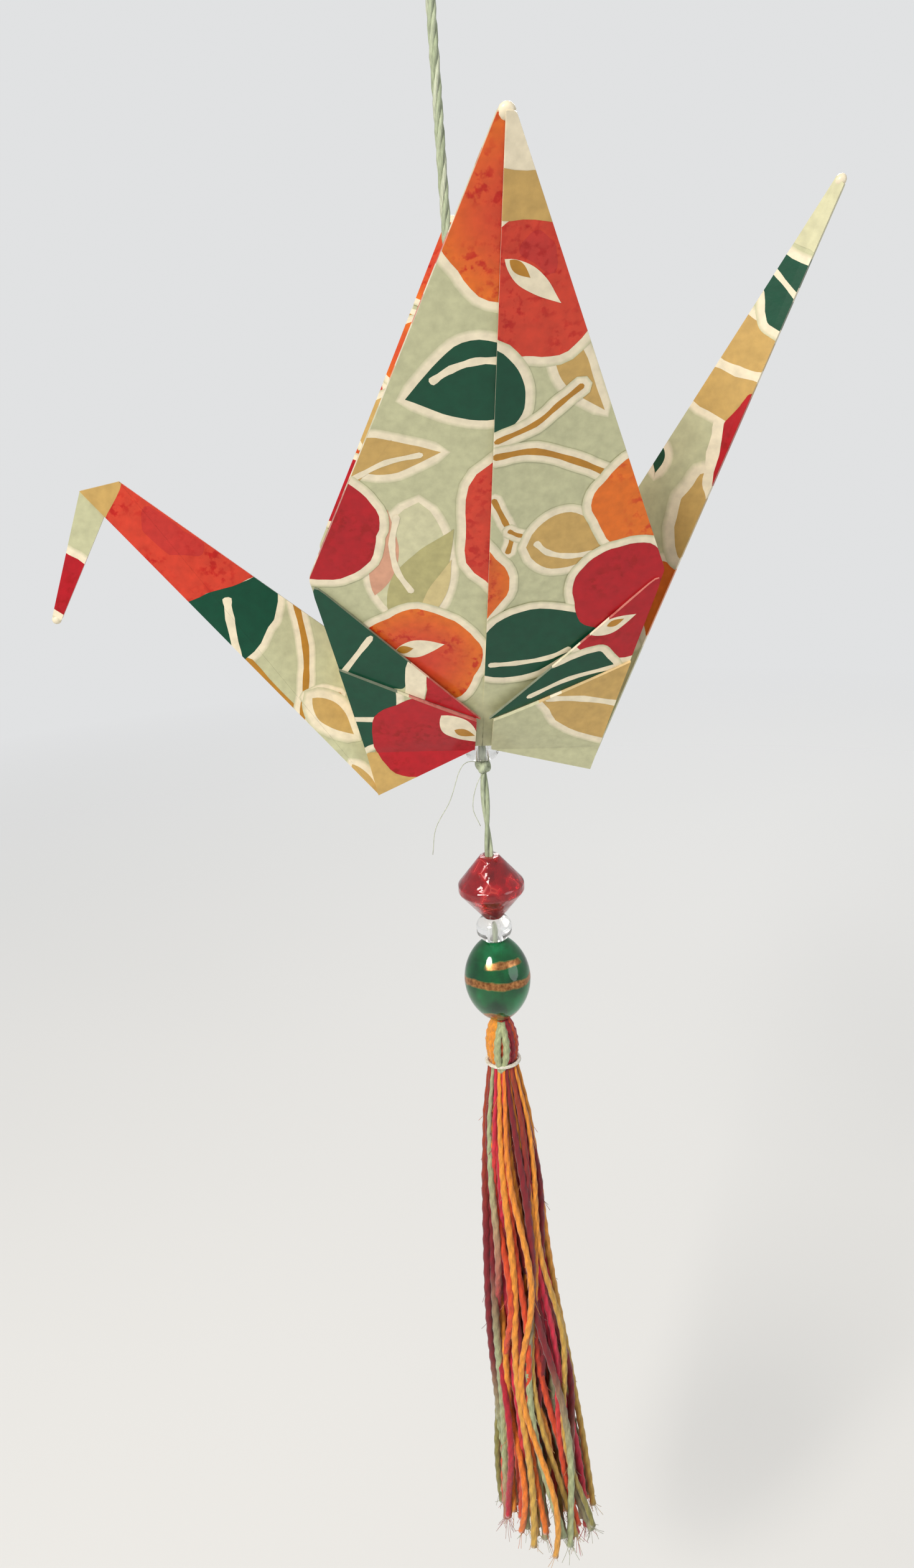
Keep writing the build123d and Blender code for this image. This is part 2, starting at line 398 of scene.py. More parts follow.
def leg_foot(rise, way):
    drop = math.tan(rise / 2)
    wide = Q_WIDE / (1 + drop * T_NARROW)
    return way * wide, -wide * drop


# Printed shapes in panel millimetres. Their edges waver a little, as a brush leaves them.
def waver(along):
    return WAVER * math.sin(1.3 * along) + FINE_WAVER * math.sin(3.1 * along + 1)


def moved(loop, distance):
    """A closed line moved outward; it runs anticlockwise."""
    made = []
    for before, here, after in zip(loop[-1:] + loop[:-1], loop, loop[1:] + loop[:1]):
        way = Vector(after) - Vector(before)
        made.append(tuple(Vector(here) + Vector((way.y, -way.x)).normalized() * distance))
    return made


def fading(inner, outer, start, end):
    """Colour that runs from one edge of a cell to the opposite one."""
    def shade(point):
        a = abs(inside(point, *inner)) / max(1e-6, math.dist(*inner))
        b = abs(inside(point, *outer)) / max(1e-6, math.dist(*outer))
        return blend(start, end, a / max(1e-6, a + b))
    return shade


def outline(face, loop, width=OUTLINE):
    """A pale line round a shape, which fades into the ground."""
    loop = anticlockwise([tuple(p) for p in loop])
    tones = ink(CREAM), ink(CREAM), blend(ink(CREAM), ink(SAGE), 0.85)
    loops = [moved(loop, d) for d in (-0.25, 0.85 * width, 1.4 * width)]
    cells = []
    for inner, outer, start, end in zip(loops, loops[1:], tones, tones[1:]):
        for a, b, c, d in zip(inner, inner[1:] + inner[:1], outer[1:] + outer[:1], outer):
            shade = fading((a, b), (d, c), start, end)
            cells += [([a, b, c], shade), ([a, c, d], shade)]
    face.paint(cells)


def strip(rows, colour):
    return [([a, c, d, b], colour) for (a, b), (c, d) in zip(rows, rows[1:])]


def round_loop(rows):
    """The closed line round a strip, whose end rows may be points."""
    loop = [a for a, b in rows] + [b for a, b in reversed(rows)]
    return [p for p, q in pairs(loop) if math.dist(p, q) > 1e-4]


def fan(middle, loop, colour):
    return [([tuple(middle), a, b], colour) for a, b in pairs(loop)]


def blossom(face, centre, radius, heart, rim=None, turn=0.0, petals=5, stamen_turn=None, edged=True):
    """A round flower with shallow petals, deeper in colour towards its heart."""
    heart, rim = ink(heart), ink(rim or heart)
    loop = []
    for k in range(BLOSSOM_POINTS):
        angle = 2 * math.pi * k / BLOSSOM_POINTS
        reach = radius * (1 + PETAL_DEPTH * math.cos(petals * (angle - turn))) + waver(angle * radius + turn)
        loop.append((centre[0] + reach * math.cos(angle), centre[1] + reach * math.sin(angle)))

    def shade(point):
        return blend(heart, rim, min(1, math.dist(point, centre) / radius) ** 2)

    if edged:
        outline(face, loop)
    half = [tuple(blend(centre, p, 0.55)) for p in loop]
    ring = list(zip(half + half[:1], loop + loop[:1]))
    face.paint(fan(centre, half, shade) + strip(ring, shade))
    if stamen_turn is not None:
        stamen(face, centre, radius, stamen_turn)


def stamen(face, centre, radius, turn):
    """A tongue from the flower's heart, in the direction of turn."""
    aim = Vector((math.cos(turn), math.sin(turn)))
    root = Vector(centre) - aim * radius * 0.12
    tongue(face, (root, root + aim * radius * 0.75, radius * 0.2),
           (root - aim * 0.35, root + aim * radius * 0.24, 0.42))


def tongue(face, pale, pollen):
    """A pale tongue with pollen at its root; both are given by base, tip and half width."""
    for facts, colour in ((pale, CREAM), (pollen, MUSTARD)):
        blade(face, *facts, colour, width=0)


def blade(face, base, tip, half, colour, bend=0.0, width=OUTLINE, point=1.05, vein=False):
    """A leaf from base to tip, bent sideways by a share of its length; a low point value rounds it."""
    base, tip = Vector(base), Vector(tip)
    length = (tip - base).length
    along = (tip - base) / length
    across = Vector((-along.y, along.x))
    rows = []
    for k in range(BLADE_ROWS + 1):
        t = k / BLADE_ROWS
        reach = half * math.sin(math.pi * t ** 0.8) ** point
        middle = base + along * length * t + across * bend * length * math.sin(math.pi * t)
        uneven = min(0.6, half / 3) * math.sin(math.pi * t)
        rows.append((tuple(middle - across * (reach + uneven * waver(length * t))),
                     tuple(middle + across * (reach + uneven * waver(length * t + 2)))))
    if width:
        outline(face, round_loop(rows), width)
    face.paint(strip(rows, ink(colour)))
    if vein:
        line(face, [base + along * length * 0.16, base + along * length * 0.8], 0.5, CREAM)


def through(points, steps=5):
    """A smooth line through points."""
    ends = [2 * points[0] - points[1]] + points + [2 * points[-1] - points[-2]]
    made = []
    for a, b, c, d in zip(ends, ends[1:], ends[2:], ends[3:]):
        for k in range(steps):
            t = k / steps
            made.append(b + (c - a) * t / 2 + (2 * a - 5 * b + 4 * c - d) * t * t / 2
                        + (3 * b - a - 3 * c + d) * t ** 3 / 2)
    return made + [points[-1]]


def line(face, points, thick, colour, width=0.0):
    """A brush line with rounded ends."""
    track = through([Vector(p) for p in points])
    first, end = (a * (1 + OVERRUN) - b * OVERRUN for a, b in (track[:2], track[:-3:-1]))
    track = [first, *track, end]
    last = len(track) - 1
    rows = []
    for k, place in enumerate(track):
        ahead = (track[min(k + 1, last)] - track[max(k - 1, 0)]).normalized()
        across = Vector((-ahead.y, ahead.x)) * thick / 2 * (0.45 if k in (0, last) else 1 + 1.2 * waver(k))
        rows.append((tuple(place - across), tuple(place + across)))
    if width:
        outline(face, round_loop(rows), width)
    face.paint(strip(rows, ink(colour)))


def patch(face, points, colour, width=OUTLINE):
    """A field of colour with soft corners, open towards its middle everywhere."""
    shape = rounded(anticlockwise(points), {i: SOFT_CORNER for i in range(len(points))})
    loop = []
    gone = 0.0
    for a, b in pairs(shape):
        way = Vector(b) - Vector(a)
        steps = max(1, round(way.length / 0.9))
        for k in range(steps):
            out = Vector((way.y, -way.x)).normalized() * waver(gone + way.length * k / steps)
            loop.append(tuple(Vector(a) + way * k / steps + out))
        gone += way.length
    if width:
        outline(face, loop, width)
    middle = sum((Vector(p) for p in points), Vector((0, 0))) / len(points)
    face.paint(fan(middle, loop, ink(colour)))


def scatter(face, seed, spacing=8.6):
    """Flowers, leaves and twigs over a panel, for faces with a print of their own."""
    chance = random.Random(seed)
    us, vs = zip(*face.panel.outline)
    rows = int((max(vs) - min(vs)) / spacing) + 2
    columns = int((max(us) - min(us)) / spacing) + 2
    spots = [(min(us) + (i + 0.5 * (j % 2) + chance.uniform(-0.2, 0.2)) * spacing,
              min(vs) + (j + chance.uniform(-0.2, 0.2)) * spacing)
             for j in range(rows) for i in range(columns)]
    for k, spot in enumerate(spots):
        aim = chance.uniform(0, 2 * math.pi)
        step = Vector((math.cos(aim), math.sin(aim)))
        start = Vector(spot) - step * spacing * 0.62
        bend = chance.uniform(-0.12, 0.12)
        if k % 4 == 0:
            mid = Vector(spot) + Vector((-step.y, step.x)) * 1.2
            line(face, [start, mid, Vector(spot) + step * spacing * 0.7], 0.5, MUSTARD, 0.5)
        elif k % 4 == 2:
            blade(face, start, Vector(spot) + step * spacing * 0.45, 2.5,
                  chance.choice((GREEN, TAN, GREEN)), bend, vein=True)
        else:
            colours = chance.choice(((CRIMSON, CRIMSON), (CORAL, ORANGE), (ORANGE, ORANGE), (CORAL, CORAL)))
            blossom(face, spot, chance.uniform(3.6, 4.8), *colours, turn=aim, stamen_turn=aim)


# The crane's panels.
WING_STACK = 3 * PLY
PLEAT_STACK = 2 * PLY
FLAP_STACK = 4 * PLY
SKIN = 2.5 * PLY
BITE = 0.05              # stacks that lie on each other overlap by this
LOW = WING_STACK / 2 + PLEAT_STACK / 2 - BITE
HIGH = WING_STACK / 2 + FLAP_STACK / 2 - BITE
TOP = WING - TIP_SHORT


def rise_to(a, b, peak):
    """Share of the way from the line through a and b to the peak."""
    whole = inside(peak, a, b)
    return lambda u, v: inside((u, v), a, b) / whole


def from_axes(axes, values):
    return sum((axis * value for axis, value in zip(axes, values)), Vector((0, 0, 0)))


def varnish_drop(place, ahead, across, sizes):
    """A drop of varnish that rounds a tip."""
    rings, sides = 7, 12
    axes = ahead.normalized(), across.normalized()
    axes = (*axes, axes[0].cross(axes[1]))

    def spot(i, j):
        a, b = math.pi * i / rings, 2 * math.pi * j / sides
        unit = math.cos(a), math.sin(a) * math.cos(b), math.sin(a) * math.sin(b)
        out = from_axes(axes, [x * size for x, size in zip(unit, sizes)])
        return place + out, from_axes(axes, [x / size for x, size in zip(unit, sizes)])

    for i in range(rings):
        for j in range(sides):
            corners = [spot(i, j), spot(i + 1, j), spot(i + 1, j + 1), spot(i, j + 1)]
            if i in (0, rings - 1):
                del corners[3 if i == 0 else 2]
            normals = [(hang(p + n) - hang(p)).normalized() for p, n in corners]
            paper.face([hang(p) for p, n in corners], [ink(CREAM)] * len(corners), normals)


def at_seam(u, v):
    return abs(u) < 2 * SEAM_LAP


def make_wing(side):
    left = [(0, TOP), (-WING_TIP, TOP), (-S_WIDE, S_HIGH), (-Q_WIDE, 0), (0, 0)]
    right = [(-u, v) for u, v in left]
    right[0], right[4] = (-SEAM_LAP, TOP), (-SEAM_LAP, 0)
    whole = left[1:4] + right[3:0:-1]
    at = wing_place(side)
    turns = {0: TIP_ROUND, 1: CORNER_ROUND, 4: CORNER_ROUND, 5: TIP_ROUND}
    inner = Panel(rounded(whole, turns), raised(at, -PLY / 2), 2 * PLY, sides=(-1,))
    turns = {1: TIP_ROUND, 2: CORNER_ROUND}
    halves = {
        -1: Panel(rounded(left, turns), raised(at, PLY), PLY, sides=(1,), raw=at_seam),
        1: Panel(rounded(right, turns), raised(wing_place(side, RAW_LIFT), PLY), PLY, raw=at_seam),
    }
    tip, below = (Vector(at(0, TOP - down, 0)) for down in (0.2, 4))
    varnish_drop(tip, tip - below, Vector((1, 0, 0)), WING_DROP)
    return inner, halves


def make_pleat(side, way):
    """Pocket facet, flap, lower corner and side wall at one side of the breast."""
    at = wing_place(side)
    s, r, q = (way * S_WIDE, S_HIGH), (way * R_WIDE, R_HIGH), (way * Q_WIDE, 0)
    crotch = (way * BREAST_GAP, 0)
    middle = (way * BREAST_GAP / 2, I_HIGH)
    breast = (way * BREAST_GAP, I_HIGH)
    facet_rise = rise_to(s, r, middle)
    side_rise, low_rise = rise_to(r, q, breast), rise_to(q, crotch, breast)

    def flap_lift(u, v):
        a, b = max(1e-3, side_rise(u, v)), max(1e-3, low_rise(u, v))
        return FLAP_LIFT * ((a ** -4 + b ** -4) / 2) ** -0.25

    facet = Panel(rounded([s, r, middle], {0: 0.6}),
                  raised(at, LOW, lambda u, v: FLAP_LIFT * facet_rise(u, v)), PLEAT_STACK)
    flap_place = raised(at, HIGH, flap_lift)
    flap = Panel([breast, r, q, crotch], flap_place, FLAP_STACK)
    foot_x, foot_z = leg_foot(NECK_RISE if way < 0 else TAIL_RISE, way)
    foot = Vector((foot_x, side * SLIT, foot_z))
    start, end = Vector(flap_place(*crotch, 0)), Vector(flap_place(*q, 0))
    reach = (foot - start).dot((end - start).normalized())
    drop = math.sqrt((foot - start).length_squared - reach ** 2)
    corners = [crotch, q, (crotch[0] + way * reach, -drop)]
    lower = Panel(corners, flat_place(corners, [start, end, foot], (0, side, 0)), FLAP_STACK)
    wall_corners = [(0, 0), (0, R_HIGH), (8, R_HIGH)]
    wall_ends = [at(*q, 0), at(*r, 0), hump_place(side)(way * R_WIDE, R_HIGH, 0)]
    wall = Panel(wall_corners, flat_place(wall_corners, wall_ends, (way, 0, 0)), PLEAT_STACK)
    return facet, flap, lower, wall


def make_hump(side):
    corners = [(0, CORNER), (-R_WIDE, R_HIGH), (-Q_WIDE, 0), (Q_WIDE, 0), (R_WIDE, R_HIGH)]
    return Panel(corners, hump_place(side), PLEAT_STACK)


def leg_panels(side, way, rise, yaw, ridge_end, edge_end, share):
    """One side of a neck or tail, in coordinates along its ridge and below it."""
    ridge, under = leg_frame(rise, yaw, way)
    foot_x, foot_z = leg_foot(rise, way)
    foot = Vector((foot_x, side * SLIT, foot_z))
    crotch = Vector(wing_place(side)(way * BREAST_GAP, 0, 0))
    leave = leg_frame(rise, 0, way)[0] * (share * WING)
    edge = edge_end + Vector((0, side * SLIT_END, 0))
    made = []
    for places in ((crotch, foot, leave), (foot, edge, ridge_end), (foot, ridge_end, leave)):
        corners = [(p.dot(ridge), p.dot(under)) for p in places]
        made.append(Panel(corners, flat_place(corners, places, (0, side, 0)), SKIN))
    return made


def make_neck():
    ridge, under = leg_frame(NECK_RISE, NECK_YAW, -1)
    beak = WING * HEAD_SHARE
    bend = ridge * (WING - beak)
    fold = math.tan(HEAD_TURN / 2)
    along = beak * T_NARROW / (fold + T_NARROW)
    throat = bend + ridge * along + under * along * fold
    aim = ridge * math.cos(HEAD_TURN) + under * math.sin(HEAD_TURN)
    back = ridge * math.sin(HEAD_TURN) - under * math.cos(HEAD_TURN)
    tip_ridge = bend + aim * (beak - BEAK_SHORT)
    tip_edge = tip_ridge + back * LEG_TIP
    skins = {side: leg_panels(side, -1, NECK_RISE, NECK_YAW, bend, throat, NECK_HIDDEN) for side in (-1, 1)}
    places = (bend, throat, tip_edge, tip_ridge)
    corners = [(p.dot(ridge), p.dot(under)) for p in places]
    flat = flat_place(corners[:3], places[:3], (0, -1, 0))

    def pressed(u, v, out):
        """The stack is thinnest at the bend, where it is pressed."""
        return flat(u, v, out * min(1, 0.3 + math.dist((u, v), corners[0]) / 9))

    head = Panel(rounded(corners, {2: BEAK_ROUND, 3: BEAK_ROUND}), pressed, FLAP_STACK)
    varnish_drop((tip_ridge + tip_edge) / 2, aim, back, BEAK_DROP)
    return skins, head


def make_tail():
    ridge, under = leg_frame(TAIL_RISE, TAIL_YAW, 1)
    ridge_end = ridge * (WING - TIP_SHORT)
    edge_end = ridge * (WING - TAIL_EDGE_SHORT) + under * LEG_TIP
    varnish_drop((ridge_end + edge_end) / 2, ridge, under, TAIL_DROP)
    ends = ridge_end, edge_end, TAIL_HIDDEN
    return {side: leg_panels(side, 1, TAIL_RISE, TAIL_YAW, *ends) for side in (-1, 1)}


# The print that the photograph shows.
def print_left_half(face):
    blade(face, (-14.6, 36.2), (-4.6, 36.3), 1.8, TAN, -0.05)
    blade(face, (-14.4, 31.6), (-8.8, 37.4), 1.5, TAN, 0.1, width=0)
    line(face, [(-12.2, 33.6), (-9.4, 35.2), (-6.4, 36.0)], 0.5, CREAM)
    blade(face, (-7.4, 17.6), (-6.6, 31.2), 3.7, PALE, 0.03, point=0.62)
    # Painted reflection: a pink glow beside the crimson flower.
    blade(face, (-10.9, 20.6), (-9.4, 30.4), 1.3, PAINTED_REFLECTION_PINK, -0.04, width=0)
    # Painted shade: greener and tan diagonal bands across the pale leaf.
    blade(face, (-9.6, 18.4), (-3.4, 28.4), 2.2, PAINTED_SHADE_GREEN, -0.02, width=0)
    blade(face, (-6.6, 17.6), (-3.6, 25.0), 0.9, PAINTED_SHADE_TAN, -0.03, width=0)
    line(face, [(-8.6, 29.6), (-9.1, 26.6), (-8.7, 23.6), (-7.4, 21.2)], 0.6, CREAM)
    blossom(face, (-16.2, 28.2), 6.0, CRIMSON, turn=0.4)
    blossom(face, (8.7, 28.8), 11.3, CORAL, petals=9)
    blossom(face, (1.7, 56.4), 7.0, CORAL, ORANGE, turn=0.6)
    blade(face, (3.4, 43.6), (-7.6, 41.2), 3.6, GREEN, -0.03)
    line(face, [(-5.4, 42.8), (-3.8, 43.9), (-1.8, 44.6), (0.2, 44.7)], 0.65, CREAM)
    blossom(face, (-6.8, 12.5), 6.3, CORAL, ORANGE, turn=0.3)
    tongue(face, ((-9.2, 13.5), (-4.2, 14.6), 1.1), ((-9.0, 13.7), (-7.3, 14.0), 0.5))


def print_right_half(face):
    patch(face, [(-1, 58.6), (4, 58.4), (4, 65), (-1, 65)], CREAM, width=0)
    blade(face, (5.0, 47.6), (9.4, 39.6), 1.3, TAN, -0.08)
    blossom(face, (2.9, 50.6), 5.9, CORAL, turn=0.2)
    patch(face, [(-1, 56.0), (5, 55.4), (5, 59.0), (-1, 59.6)], TAN, width=0)
    patch(face, [(1.0, 53.4), (2.6, 55.2), (4.2, 54.0), (4.4, 51.2)], ROSE, width=0)
    tongue(face, ((0.2, 53.0), (4.9, 49.2), 0.9), ((0.6, 52.9), (2.3, 51.4), 0.45))
    blade(face, (-0.4, 37.9), (-0.4, 45.9), 2.9, GREEN, point=0.7)
    line(face, [(0.2, 37.5), (3.4, 38.8), (5.4, 40.5), (7.2, 42.0)], 0.5, MUSTARD, 0.5)
    line(face, [(0.1, 36.0), (3.6, 36.2), (7.5, 34.8), (10.6, 33.2)], 0.6, MUSTARD, 0.5)
    line(face, [(0.1, 31.6), (1.2, 29.2), (1.9, 27.6), (1.6, 25.8)], 0.5, MUSTARD, 0.4)
    line(face, [(1.6, 28.2), (2.6, 27.6), (3.9, 27.4)], 0.4, MUSTARD, 0.4)
    blade(face, (3.3, 26.2), (11.4, 26.4), 3.1, TAN, 0.03, point=0.8)
    line(face, [(4.2, 26.6), (5.4, 25.4), (7.4, 24.8), (9.8, 24.9)], 0.6, CREAM)
    blossom(face, (-4.0, 22.2), 5.7, CORAL, ORANGE)
    blossom(face, (14.2, 30.2), 4.9, ORANGE, turn=0.5)
    blossom(face, (13.3, 20.4), 5.2, CRIMSON, turn=0.1)
    blade(face, (-1.6, 11.6), (11.6, 16.8), 4.1, GREEN, 0.06, point=0.9)
    blossom(face, (13.3, 20.4), 5.2, CRIMSON, turn=0.1, edged=False)
    line(face, [(0.4, 12.0), (3.0, 12.0), (6.2, 12.4), (8.4, 13.4)], 0.6, CREAM)


def print_left_pleat(facet, flap, lower):
    patch(facet, [(-18, 24), (-17.6, 9), (-8.4, 9), (-7.6, 13.4)], GREEN, width=0)
    line(facet, [(-11.6, 15.6), (-14.4, 11.0)], 0.6, CREAM)
    patch(facet, [(-8.4, 8), (-7.9, 14), (-5.4, 12.5), (-6.6, 7)], CREAM, width=0)
    patch(facet, [(-5.9, 12), (-6.4, 6), (1, 4), (1, 8)], CRIMSON, width=0)
    for face in (flap, lower):
        patch(face, [(-17, 1.4), (-10, 2), (-7, -4), (-2, -6), (-8, -14), (-17, -12)], TAN, width=0)
        patch(face, [(-19, 12), (-9, 12), (-9.6, 2.4), (-14.6, -0.2)], GREEN)
        line(face, [(-16.6, 4.6), (-10.8, 4.9)], 0.7, CREAM)
        blossom(face, (-6.0, 2.4), 6.0, CRIMSON, turn=0.2, edged=False)
        tongue(face, ((-4.6, 6.0), (-0.6, 1.6), 1.6), ((-3.2, 3.8), (-1.0, 2.8), 0.6))


def print_right_pleat(facet, flap, lower):
    blossom(facet, (13.6, 17.4), 5.4, CRIMSON)
    tongue(facet, ((10.4, 15.4), (14.8, 17.4), 0.9), ((11.9, 16.3), (13.6, 17.0), 0.4))
    patch(facet, [(-1, 3), (15, 8), (11.6, 13.4), (-1, 9)], GREEN)
    line(facet, [(13.6, 10.9), (8.6, 9.9), (4.6, 8.0)], 0.55, CREAM)
    for face in (flap, lower):
        patch(face, [(5.7, 7.8), (6.4, 12), (16, 13), (17, 1.0), (13, 1.3), (10, 2.4), (7.5, 4.6)], TAN)
        line(face, [(6.4, 7.8), (10.2, 7.2), (14.6, 5.8)], 0.75, CREAM)


def print_head(head):
    for face in (head.outer, head.inner):
        patch(face, [(41, -3), (51, -3), (51, 2.9), (41, 3.0)], TAN, width=0)
        patch(face, [(39, 8.8), (51, 8.8), (51, 14.5), (39, 14.0)], CRIMSON)
        patch(face, [(39, 14.9), (51, 15.3), (51, 19), (39, 19)], CREAM, width=0)


def print_neck(faces):
    for face in faces:
        patch(face, [(50, -3), (45.8, -3), (43.6, 8), (50, 8)], TAN, width=0)
        leaf = [(34.6, 6.6), (29, -1.4), (27.2, -0.4), (25.9, 2.4), (25.6, 5.2), (26.2, 10), (33, 9)]
        patch(face, leaf, GREEN)
        patch(face, [(46.0, -2), (43.4, 12), (34.4, 6.4), (28.6, -2)], CORAL, width=0)
        patch(face, [(43.0, 0.3), (41.6, 2.8), (38.0, 3.0), (35.4, 1.4), (36.0, 0.1)], ROSE, width=0)
        line(face, [(31.0, 3.4), (29.6, 4.9), (26.4, 8.0)], 0.85, CREAM)
        line(face, [(25.4, 7.5), (19.3, 8.9), (16.0, 9.6)], 0.8, MUSTARD)
        line(face, [(25.2, -0.5), (21.6, 2.8), (19.4, 5.8), (17.9, 8.4), (16.4, 11)], 0.65, MUSTARD, 0.5)
        line(face, [(18.4, 7.2), (17.4, 5.6), (15.6, 4.9)], 0.35, MUSTARD, 0.4)
        blade(face, (17.8, 6.9), (11.8, 7.6), 1.3, TAN, width=0.8)
        blade(face, (10.0, 10.4), (3.6, 13.4), 1.1, TAN)


def print_tail(faces):
    for face in faces:
        blossom(face, (18.6, 4.4), 3.6, CORAL)
        patch(face, [(26.6, 5.4), (27.8, 10), (16, 13), (21.6, 5.8)], ORANGE)
        leaf = [(36.4, 4.2), (34.6, 9), (28, 10), (28.0, 6.8), (30.1, 4.8), (33, 4.0)]
        patch(face, leaf, TAN, width=0.9)
        patch(face, [(50.1, -2), (50.5, 5), (43.9, 6), (41.2, 3.7), (41.3, -2)], TAN)
        line(face, [(40.9, 3.1), (38.2, 4.1), (35.6, 5.4), (34.6, 6.6)], 1.2, CREAM)
        petal = [(44.6, 3.9), (41.2, 3.5), (38.4, 4.6), (34.8, 6.2), (35, 10), (45, 8)]
        patch(face, petal, CRIMSON, width=0)
        blade(face, (36.2, -0.7), (33.6, 0.3), 0.6, GREEN)
        line(face, [(45.3, -0.8), (45.6, 1.8), (46.4, 4.6)], 0.9, CREAM)
        patch(face, [(55.9, -2), (56.4, 4), (50.2, 5), (50.5, 1.8), (52.6, -0.2), (53, -2)], GREEN)
        line(face, [(54.5, -0.4), (53.5, 3)], 0.5, CREAM)
        patch(face, [(57.1, -2), (66, -2), (66, 5), (57.4, 5)], PALE, width=0)


def print_back_wing_inside(face):
    scatter(face, 5)
    blossom(face, (-1.2, 57.0), 5.6, CORAL, ORANGE)
    line(face, [(-6.4, 50.9), (-4.2, 50.3)], 1.6, CREAM)
    line(face, [(-5.8, 50.4), (-5.0, 50.2)], 0.7, MUSTARD)
    blossom(face, (-5.4, 45.6), 4.0, CORAL, ORANGE)
    blade(face, (-11.8, 34.4), (-7.6, 41.0), 2.2, TAN)
    blossom(face, (-14.0, 28.6), 4.0, CRIMSON)


def paint_crane():
    """Makes every panel and its print. The back has flowers strewn by fixed seeds."""
    pleats = {}
    for side in (-1, 1):
        inner, halves = make_wing(side)
        hump = make_hump(side)
        for way in (-1, 1):
            pleats[side, way] = [panel.outer for panel in make_pleat(side, way)]
        scatter(hump.outer, 11 + side)
        if side < 0:
            scatter(inner.inner, 3)
            print_left_half(halves[-1].outer)
            print_right_half(halves[1].outer)
        else:
            print_back_wing_inside(inner.inner)
            for way in (-1, 1):
                scatter(halves[way].outer, 20 + way)
                for k, face in enumerate(pleats[side, way]):
                    scatter(face, 30 + 4 * k + way)
    print_left_pleat(*pleats[-1, -1][:3])
    print_right_pleat(*pleats[-1, 1][:3])
    for way in (-1, 1):
        scatter(pleats[-1, way][3], 50 + way)
    skins, head = make_neck()
    tails = make_tail()
    print_head(head)
    for side in (-1, 1):
        print_neck([panel.outer for panel in skins[side]])
        print_tail([panel.outer for panel in tails[side]])
    for panel in Panel.made:
        panel.close()


# Materials.
class Look:
    """Short calls for the nodes of a material or of the world."""

    def __init__(self, owner, shader="Principled BSDF", **values):
        owner.use_nodes = True
        self.owner, self.tree = owner, owner.node_tree
        self.shader = self.tree.nodes[shader]
        self.at = self.node("TexCoord").outputs["Object"]
        self.set(**values)

    def feed(self, socket, value):
        """Gives a socket a constant, or links it to an output."""
        if isinstance(value, bpy.types.NodeSocket):
            self.tree.links.new(value, socket)
        else:
            socket.default_value = value

    def set(self, **values):
        """Feeds the shader's sockets; an underscore stands for a space."""
        for name, value in values.items():
            self.feed(self.shader.inputs[name.replace("_", " ")], value)

    def node(self, kind, *values, **named):
        """A new node. Lower-case names are its settings; the others, and plain values, are its inputs."""
        made = self.tree.nodes.new("ShaderNode" + kind)
        for name, value in named.items():
            if name[0].islower():
                setattr(made, name, value)
            else:
                self.feed(made.inputs[name.replace("_", " ")], value)
        for socket, value in zip(made.inputs, values):
            self.feed(socket, value)
        return made

    def noise(self, scale, detail=3.0, stretch=None):
        at = self.node("Mapping", Vector=self.at, Scale=stretch).outputs["Vector"] if stretch else self.at
        return self.node("TexNoise", Vector=at, Scale=scale, Detail=detail).outputs["Fac"]

    def spread(self, value, low, high, start=0.3, end=0.7):
        """Maps a value between start and end to the range from low to high."""
        ends = {"From_Min": start, "From_Max": end, "To_Min": low, "To_Max": high}
        return self.node("MapRange", Value=value, **ends).outputs["Result"]

    def math(self, operation, *values):
        return self.node("Math", *values, operation=operation).outputs[0]

    def tinted(self, colour, value):
        """A colour made darker or lighter by a value near one."""
        return self.node("VectorMath", colour, operation="SCALE", Scale=value).outputs[0]

    def ramp(self, value, *stops):
        node = self.node("ValToRGB", value)
        elements = node.color_ramp.elements
        while len(elements) < len(stops):
            elements.new(0.5)
        for element, (place, code) in zip(elements, stops):
            element.position = place
            element.color = (*rgb(code), 1)
        return node.outputs["Color"]

    def bump(self, height, strength, distance):
        node = self.node("Bump", Height=height, Strength=strength, Distance=distance)
        self.set(Normal=node.outputs["Normal"])


def new_look(name, **values):
    return Look(bpy.data.materials.new(name), **values)


def paper_material():
    """Printed paper with mottled ink under a clear, slightly uneven varnish."""
    look = new_look("printed_paper", Coat_Weight=0.32, Coat_Roughness=0.12, Specular_IOR_Level=0.25)
    stored = look.node("Attribute", attribute_name="print")
    dry = look.spread(look.noise(1500, 5), 0.0, 1.0, 0.50, 0.62)
    patchy = look.spread(look.noise(240, 2), 0.0, 1.0, 0.42, 0.62)
    brushed = look.math("MULTIPLY", look.math("MULTIPLY", dry, patchy), stored.outputs["Alpha"])
    redder = look.ramp(brushed, (0.0, "ffffff"), (1.0, "e47f88"))
    colour = look.node("VectorMath", stored.outputs["Color"], redder, operation="MULTIPLY").outputs[0]
    look.set(Base_Color=look.tinted(colour, look.spread(look.noise(1100, 6), 0.88, 1.08)),
             Roughness=look.spread(look.noise(500), 0.38, 0.55))
    fine = look.math("MULTIPLY", look.noise(2400), 0.08)
    look.bump(look.math("ADD", look.noise(160, 2), fine), 0.22, 0.0006)
    return look.owner


def thread_material(name):
    """Soft cotton with fibres along the strands."""
    look = new_look(name, Sheen_Weight=0.35, Sheen_Roughness=0.4)
    fibre = look.noise(1, 4, stretch=(6500, 6500, 1100))
    dye = look.node("Attribute", attribute_name="thread").outputs["Color"]
    look.set(Base_Color=look.tinted(dye, look.spread(fibre, 0.68, 1.16)),
             Roughness=look.spread(fibre, 0.65, 0.85))
    look.bump(fibre, 0.5, 0.0002)
    return look.owner


